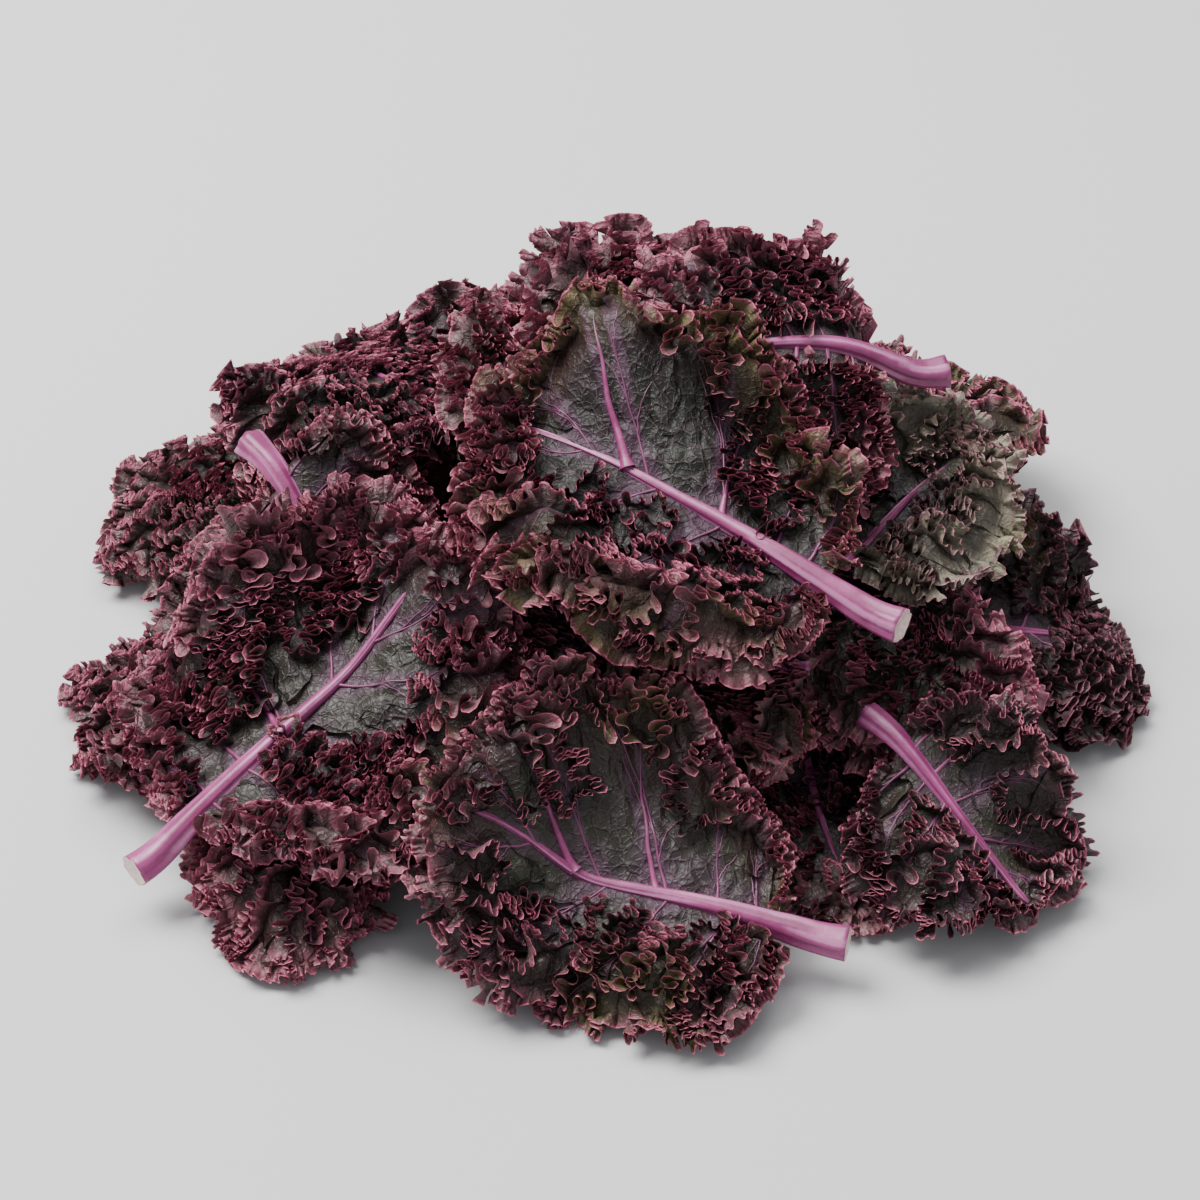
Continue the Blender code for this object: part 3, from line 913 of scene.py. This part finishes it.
def stalk_material():
    """Purple with lighter and darker streaks; side veins are darker, and the cut face is pale.

    The fields are 1 on the cut face (cut), the radius in mm (thick), and the streaks (streak).
    """
    material, g, shader = node_graph("kale_stalk")
    place = g.place()
    cut, thick, streak = g.field("cut"), g.field("thick"), g.field("streak")
    colour = g.mix(g.spread(g.noise(place, 70.0), 0.35, 0.65), srgb("7c2a59"), srgb("963f72"))
    grain = g.math("ADD", streak, g.math("MULTIPLY", g.noise(place, 260.0), 0.8))
    colour = g.mix(g.spread(grain, 0.3, 1.0, 0.0, 0.7), colour, srgb("bb7aa0"))
    colour = g.mix(g.spread(grain, 0.25, -0.4, 0.0, 0.5), colour, srgb("6d2a52"))
    colour = g.mix(g.spread(thick, 0.2, 1.3, 0.85, 0.0), colour, srgb("5a3248"))
    core = g.mix(g.spread(g.noise(place, 500.0), 0.4, 0.6), srgb("d5c8b0"), srgb("cfa9ac"))
    colour = g.mix(g.spread(cut, 0.3, 0.8), colour, core)
    g.put(shader.inputs["Base Color"], colour)
    shader.inputs["Roughness"].default_value = 0.42
    shader.inputs["Coat Weight"].default_value = 0.08
    furrows = g.bump(streak, 0.35, 0.0006)
    g.put(shader.inputs["Normal"], g.bump(g.noise(place, 350.0, 4.0), 0.35, 0.0005, furrows))
    return material


# The scene

# Leaves that show their blade are built finer than the ones that show little but their frills
FINE = dict(
    columns=768,
    band_rows=30,
    inner_rows=24,
    step=0.24,  # between columns along a ruffle's foot
    start=None,  # where on the stalk the sheet begins: where the CAD blade does
    neck=6.0,  # half the sheet's width there
    clear=7.0,  # what the ruffles leave free beside the midrib
    hills=9.0,  # height of the band's hills
    veins=5,  # side veins on either side
    stalk=1.0,  # thickness of the stalk, as a share of the CAD model's
    stalk_reach=0.88,  # share of the leaf's length that stalk and midrib take
)
COARSE = dict(
    columns=384,
    band_rows=20,
    inner_rows=10,
    step=0.33,
    start=3.0,
    neck=15.0,
    clear=1.5,
    cover=(1.0, 1.0),
    hills=8.5,
    veins=0,
    stalk=0.4,
    stalk_reach=0.85,
)
USUAL = dict(
    trims=(),  # where the outline is moved: place round the margin, spread of the move, mm outwards
    strong=(),  # the few strong side veins: place round the margin, radius
    green=0.0,  # added to how green the ruffles are
    inner="2b2d1e",  # sRGB colours: the sheet's two, the ruffles' two and their patches, and the rim's two
    inner_2="302528",
    frill="6b484d",
    frill_2="4f3539",
    olive="534f2b",
    rim="80354a",
    rim_2="b26176",
    ior=1.37,
)

# What sets each leaf apart, and the painted light and shade in some leaves' frill colours. The cover is the
# share of the rays over which the ruffle winds, at even places round the margin from the right side's foot
# over the tip to the left one's. Leaves that give one are fine.
LOOKS = {
    "top": dict(
        cover=(0.5, 0.5, 0.38, 0.25, 0.33, 0.5, 0.75, 0.8, 0.6),
        strong=((-0.21, 1.5), (-0.5, 0.9)),
        green=0.14,
        inner="181b10",
        inner_2="1f1618",
        frill="7b5257",
        frill_2="5c3d42",
        ior=1.31,
    ),
    "front_left": dict(
        cover=(0.5, 0.65, 0.8, 0.6, 0.42, 0.5, 0.6, 0.65, 0.6),
        strong=((-0.6, 1.0), (0.5, 1.0)),
        trims=((0.38, 0.16, -13.0), (0.72, 0.1, 7.0)),
        green=0.04,
        inner="232116",
        inner_2="281c1c",
        frill="855861",
        frill_2="643f48",
    ),
    "front": dict(
        cover=(0.35, 0.22, 0.22, 0.3, 0.42, 0.7, 0.85, 0.8, 0.6),
        strong=((-0.2, 1.2), (-0.45, 0.9)),
        trims=((0.4, 0.3, -6.0),),
        green=0.08,
    ),
    # Partly painted shade: front_right's frills and rims are darker than usual, for the leaf's own darker
    # colour and for the shade on the heap's right side, away from the key light
    "front_right": dict(cover=(0.6, 0.7, 0.7), stalk=0.85, frill="4c3136", frill_2="392529", rim="60303a"),
    # Partly painted light: top_right's frills are lighter than usual, for the leaf's own lighter tone and for
    # the light from above on the heap's top
    "top_right": dict(
        cover=(0.95, 0.95),
        hills=4.0,
        trims=((-0.5, 0.35, -15.0),),
        frill="96606c",
        frill_2="704853",
    ),
    # Partly painted light: back_top's and inner's frills are lighter than usual, for their own lighter tone
    # and to brighten them as the light from above does
    "back_top": dict(hills=7.0, trims=((0.45, 0.3, -16.0),), frill="9a6470", frill_2="744b56"),
    "inner": dict(frill="7f4e5a", frill_2="603a46"),
    # Painted light: middle and low_front have much lighter frills than usual, to make up for the shade that
    # the top leaf's blade casts over them
    "middle": dict(frill="a67c80", frill_2="826064"),
    "low_front": dict(frill="a67c80", frill_2="826064"),
    "low_front_left": dict(frill="8c5660", frill_2="6c424b"),
    "back_left": dict(hills=15.0, frill="5f4248", frill_2="463036", olive="57523a"),
    "far_left": dict(hills=13.0, frill="72595a", frill_2="584546"),
    "spire": dict(hills=13.0),
    "left_back": dict(cover=(0.2, 0.25, 0.7, 0.3, 0.25)),
    # Partly painted shade: right's frills and rims are darker than usual, for the leaf's own darker colour
    # and for the shade on the heap's right side, away from the key light
    "right": dict(cover=(0.7, 0.6, 0.6), frill="452f33", frill_2="342529", rim="522a33", rim_2="824c58"),
    "left": dict(trims=((0.0, 2.0, 8.0),)),
    "right_front": dict(frill="8a5663", frill_2="67404c"),
    "clump": dict(frill="968e7a", frill_2="7b7467", olive="8d8b63", rim="774f55", rim_2="a87c80"),
}


def build_leaf(name, number, heap, stalks):
    """A leaf's two pieces: its blade, and its stalk with the veins."""
    own = LOOKS.get(name, {})
    look = {**USUAL, **(FINE if "cover" in own else COARSE), **own}
    look["name"], look["seed"] = name, SEED + 101 * number
    rng = np.random.default_rng(look["seed"] + 50)
    leaf = LEAVES[name]
    blade = Blade(leaf, look, heap)
    vein_list = veins(look, rng)
    points, triangles, uvs, fields = blade.mesh(vein_list)
    fields["tone"] = np.full(len(points), rng.uniform(-0.12, 0.04) + look["green"])
    piece = add_mesh(f"leaf_{name}", points, triangles, blade_material(look), fields, uvs)
    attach(piece, "root")
    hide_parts(f"{name}_blade")
    points, triangles, fields = stalk_mesh(leaf, blade, vein_list, rng)
    piece = add_mesh(f"stalk_{name}", points, triangles, stalks, fields)
    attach(piece, "root")
    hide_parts(f"{name}_stalk")


def build_floor():
    """The pale surface that the heap lies on."""
    bpy.ops.mesh.primitive_plane_add(size=8.0, location=(0, 0, 0))
    floor = bpy.context.object
    floor.name = "floor"
    material, _, shader = node_graph("floor")
    shader.inputs["Base Color"].default_value = srgb("c8c7c6")
    shader.inputs["Roughness"].default_value = 0.9
    floor.data.materials.append(material)


def add_light(name, place, size, power):
    """A round soft light that faces the heap; place and size in metres, power in watts."""
    data = bpy.data.lights.new(name, "AREA")
    data.shape, data.size, data.energy = "DISK", size, power
    lamp = bpy.data.objects.new(name, data)
    lamp.location = place
    lamp.rotation_euler = (Vector((0, 0, 0.05)) - Vector(place)).to_track_quat("-Z", "Y").to_euler()
    bpy.context.scene.collection.objects.link(lamp)


def build_view():
    """The camera and the light."""
    target = Vector((-4, -1, 53)) * MM
    elevation, distance = math.radians(40), 1.1
    data = bpy.data.cameras.new("camera")
    data.sensor_width, data.lens = 36.0, 96.5
    data.clip_start = 0.05
    camera = bpy.data.objects.new("camera", data)
    camera.location = target + Vector((0, -math.cos(elevation), math.sin(elevation))) * distance
    camera.rotation_euler = (target - camera.location).to_track_quat("-Z", "Y").to_euler()
    bpy.context.scene.collection.objects.link(camera)
    bpy.context.scene.camera = camera
    add_light("key", (-1.0, 0.35, 1.85), 1.4, 92.0)
    add_light("fill", (0.2, 0.7, 2.2), 1.6, 32.0)
    world = bpy.data.worlds.new("world")
    world.use_nodes = True
    background = world.node_tree.nodes["Background"]
    background.inputs["Color"].default_value = (0.9, 0.93, 1.0, 1)
    background.inputs["Strength"].default_value = 0.66
    bpy.context.scene.world = world


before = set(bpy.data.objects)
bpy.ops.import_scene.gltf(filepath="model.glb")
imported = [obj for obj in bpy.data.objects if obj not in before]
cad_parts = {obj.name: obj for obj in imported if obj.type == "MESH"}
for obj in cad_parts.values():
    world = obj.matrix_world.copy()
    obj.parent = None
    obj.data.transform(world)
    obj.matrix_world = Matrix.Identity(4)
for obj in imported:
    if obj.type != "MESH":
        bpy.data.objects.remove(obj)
CAD_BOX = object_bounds()
NAMES = [name[:-len("_blade")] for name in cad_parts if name.endswith("_blade")]
LEAVES = {name: Leaf(name) for name in NAMES}
heap = Heap()
stalks = stalk_material()
for number, name in enumerate(NAMES):
    build_leaf(name, number, heap, stalks)
build_floor()
build_view()
